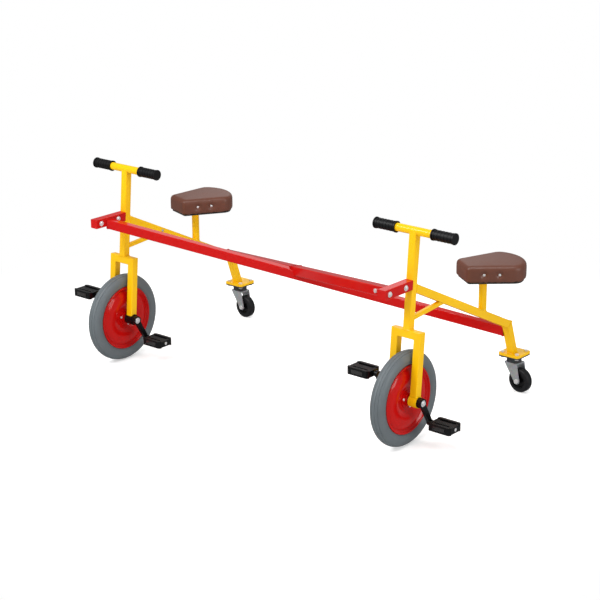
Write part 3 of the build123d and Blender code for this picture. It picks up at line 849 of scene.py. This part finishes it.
class TANDEM_OT_fasteners(bpy.types.Operator):
    """Put washers under the bracket bolts, a foot plate under each saddle and a screw in the right beam"""

    bl_idname = "tandem.fasteners"
    bl_label = "Fit the fasteners"

    washer_radius = 0.0088
    washer_depth = 0.0016
    washer_rim = 0.0003
    bolt_head_radius = 0.0065
    foot_radius = 0.034
    foot_depth = 0.003
    foot_sink = 0.0014
    foot_rim = 0.0008
    screw_back = 0.1898
    screw_height = 0.4114
    screw_radius = 0.0045
    screw_depth = 0.004
    screw_lift = 0.0012
    screw_rim = 0.0015

    def execute(self, context):
        for side in SIDES:
            low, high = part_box(f"{side}_bracket")
            bolts_low, bolts_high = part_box(f"{side}_bracket_bolts")
            level = (low.z + high.z) / 2
            places = []
            for x in (bolts_low.x + self.bolt_head_radius, bolts_high.x - self.bolt_head_radius):
                for y in (low.y, high.y):
                    places.append(facing(Vector((x, y, level)), LEFT))
            washer = bolt_head(self.washer_radius, self.washer_depth, 32, self.washer_rim, 1, both=True)
            settle(placed(washer, places), f"{side}_washers", "frame", "bright_plate", 30)
            post = middle(f"{side}_seat_post")
            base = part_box(f"{side}_seat_base")[0].z
            foot = bolt_head(self.foot_radius, self.foot_depth, 48, self.foot_rim, 2)
            under = facing(Vector((post.x, post.y, base - self.foot_sink)), -UP)
            settle(placed(foot, [under]), f"{side}_seat_foot", "frame", "yellow_coat", 30)
        place = Vector((
            middle("r_axle").x - self.screw_back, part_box("r_beam")[1].y + self.screw_lift, self.screw_height))
        screw = bolt_head(self.screw_radius, self.screw_depth, 24, self.screw_rim, 3)
        settle(placed(screw, [facing(place, LEFT)]), "r_beam_screw", "frame", "zinc_sheet", 40)
        return {"FINISHED"}


class TANDEM_OT_stage(bpy.types.Operator):
    """Set up the white studio, its lamps and the camera"""

    bl_idname = "tandem.stage"
    bl_label = "Set the stage"

    floor_size = 60
    floor_grey = (0.86, 0.86, 0.86, 1)
    floor_glow = 0.46
    floor_mirrored = 0.25
    fade_start = 0.8
    fade_end = 1.7
    sky_plain = 0.5
    sky_mirrored = 0.26

    # Name, place, point aimed at, width, power, and whether the paint mirrors it
    lamps = (
        ("key", (3.2, -1.2, 3.6), (0, 0, 0.3), 2.4, 130, True),
        ("fill", (-0.3, 4.6, 1.4), (0.1, 0, 0.3), 1.7, 42, True),
        ("back", (-3.0, -1.6, 3.2), (0, 0, 0.3), 2.6, 40, False),
        ("rim", (-3.4, -2.6, 2.4), (0, 0, 0.3), 2.6, 12, True),
        ("top", (0.9, 1.3, 3.8), (0, 0, 0.3), 1.5, 45, True),
    )

    lens = 102.9
    sensor_width = 36.0
    camera_place = (4.0387, 3.432, 2.012)
    camera_yaw = math.radians(220.44)
    camera_pitch = math.radians(-18.2)
    camera_roll = math.radians(-0.39)

    def lay_floor(self):
        """A pale floor that keeps the shadow, fades to white and is dimmer where the paint mirrors it."""
        only()
        bpy.ops.mesh.primitive_plane_add(size=self.floor_size)
        floor = bpy.context.object
        floor.name = "studio_floor"
        made = Finish("studio_floor", roughness=0.9, specular_ior_level=0.0, base_color=self.floor_grey)
        plain = Value(made, made.shader.outputs[0])
        paths = made.node("ShaderNodeLightPath").socket.node.outputs
        glow, dim, white = (
            made.node("ShaderNodeEmission", None, {"Color": WHITE, "Strength": strength})
            for strength in (self.floor_glow, self.floor_mirrored, 1.0))
        lit = made.node("ShaderNodeAddShader", None, {0: plain, 1: glow})
        x, y, _ = made.xyz()
        reach = made.math("SQRT", x * x + y * y)
        far = made.node(
            "ShaderNodeMapRange", {"interpolation_type": "SMOOTHSTEP"},
            {"Value": reach, "From Min": self.fade_start, "From Max": self.fade_end})
        faded = made.node("ShaderNodeMixShader", None, {0: far, 1: lit, 2: white})
        bounced = made.node(
            "ShaderNodeMixShader", None, {0: Value(made, paths["Is Glossy Ray"]), 1: plain, 2: dim})
        shown = made.node(
            "ShaderNodeMixShader", None, {0: Value(made, paths["Is Camera Ray"]), 1: bounced, 2: faded})
        made.feed(made.tree.nodes["Material Output"].inputs["Surface"], shown)
        floor.data.materials.append(made.material)

    def hang_lamp(self, scene, name, place, target, width, power, mirrored):
        """A round area lamp that looks at a point."""
        data = bpy.data.lights.new(name, "AREA")
        data.shape = "DISK"
        data.size = width
        data.energy = power
        lamp = bpy.data.objects.new(name, data)
        scene.collection.objects.link(lamp)
        lamp.location = place
        lamp.rotation_euler = (Vector(target) - Vector(place)).to_track_quat("-Z", "Y").to_euler()
        lamp.visible_glossy = mirrored

    def light_sky(self, scene):
        """A sky that is white to the camera and dimmer as light and where the paint mirrors it."""
        world = bpy.data.worlds.new("studio_white")
        world.use_nodes = True
        tree = world.node_tree
        paths = tree.nodes.new("ShaderNodeLightPath").outputs
        sky = tree.nodes["Background"]
        sky.inputs["Color"].default_value = WHITE
        sky.inputs["Strength"].default_value = self.sky_plain
        shown = sky.outputs[0]
        for ray, strength in (("Is Glossy Ray", self.sky_mirrored), ("Is Camera Ray", 1.0)):
            other = tree.nodes.new("ShaderNodeBackground")
            other.inputs["Color"].default_value = WHITE
            other.inputs["Strength"].default_value = strength
            mixed = tree.nodes.new("ShaderNodeMixShader")
            tree.links.new(paths[ray], mixed.inputs[0])
            tree.links.new(shown, mixed.inputs[1])
            tree.links.new(other.outputs[0], mixed.inputs[2])
            shown = mixed.outputs[0]
        tree.links.new(shown, tree.nodes["World Output"].inputs["Surface"])
        scene.world = world

    def set_camera(self, scene):
        """The camera at the picture's own place and angle."""
        data = bpy.data.cameras.new("camera")
        data.lens = self.lens
        data.sensor_width = self.sensor_width
        camera = bpy.data.objects.new("camera", data)
        scene.collection.objects.link(camera)
        camera.location = self.camera_place
        flat = Vector((math.cos(self.camera_yaw), math.sin(self.camera_yaw), 0))
        look = flat * math.cos(self.camera_pitch) + UP * math.sin(self.camera_pitch)
        turn = look.to_track_quat("-Z", "Y").to_matrix() @ Matrix.Rotation(self.camera_roll, 3, "Z")
        camera.rotation_euler = turn.to_euler()
        scene.camera = camera

    def execute(self, context):
        scene = context.scene
        scene.view_settings.view_transform = "Standard"
        self.lay_floor()
        for lamp in self.lamps:
            self.hang_lamp(scene, *lamp)
        self.light_sky(scene)
        self.set_camera(scene)
        return {"FINISHED"}


class TANDEM_PT_panel(bpy.types.Panel):
    """Lists the steps that dress the tandem"""

    bl_idname = "TANDEM_PT_panel"
    bl_label = "Side-by-side tandem"
    bl_space_type = "VIEW_3D"
    bl_region_type = "UI"
    bl_category = "Tandem"

    def draw(self, context):
        for step in STEPS:
            self.layout.operator(step.bl_idname)


STEPS = (
    TANDEM_OT_paint,
    TANDEM_OT_saddles,
    TANDEM_OT_tyres,
    TANDEM_OT_wheel_trim,
    TANDEM_OT_pedal_trim,
    TANDEM_OT_welds,
    TANDEM_OT_fasteners,
    TANDEM_OT_stage,
)
CLASSES = (TandemColours, TandemSizes, *STEPS, TANDEM_PT_panel)


def register():
    for made in CLASSES:
        bpy.utils.register_class(made)
    bpy.types.Scene.tandem_colours = bpy.props.PointerProperty(type=TandemColours)
    bpy.types.Scene.tandem_sizes = bpy.props.PointerProperty(type=TandemSizes)


def unregister():
    del bpy.types.Scene.tandem_sizes
    del bpy.types.Scene.tandem_colours
    for made in reversed(CLASSES):
        bpy.utils.unregister_class(made)


def main():
    register()
    bpy.ops.tandem.paint()
    bpy.ops.tandem.saddles()
    bpy.ops.tandem.tyres()
    bpy.ops.tandem.wheel_trim()
    bpy.ops.tandem.pedal_trim()
    bpy.ops.tandem.welds()
    bpy.ops.tandem.fasteners()
    bpy.ops.tandem.stage()


if __name__ == "__main__":
    main()
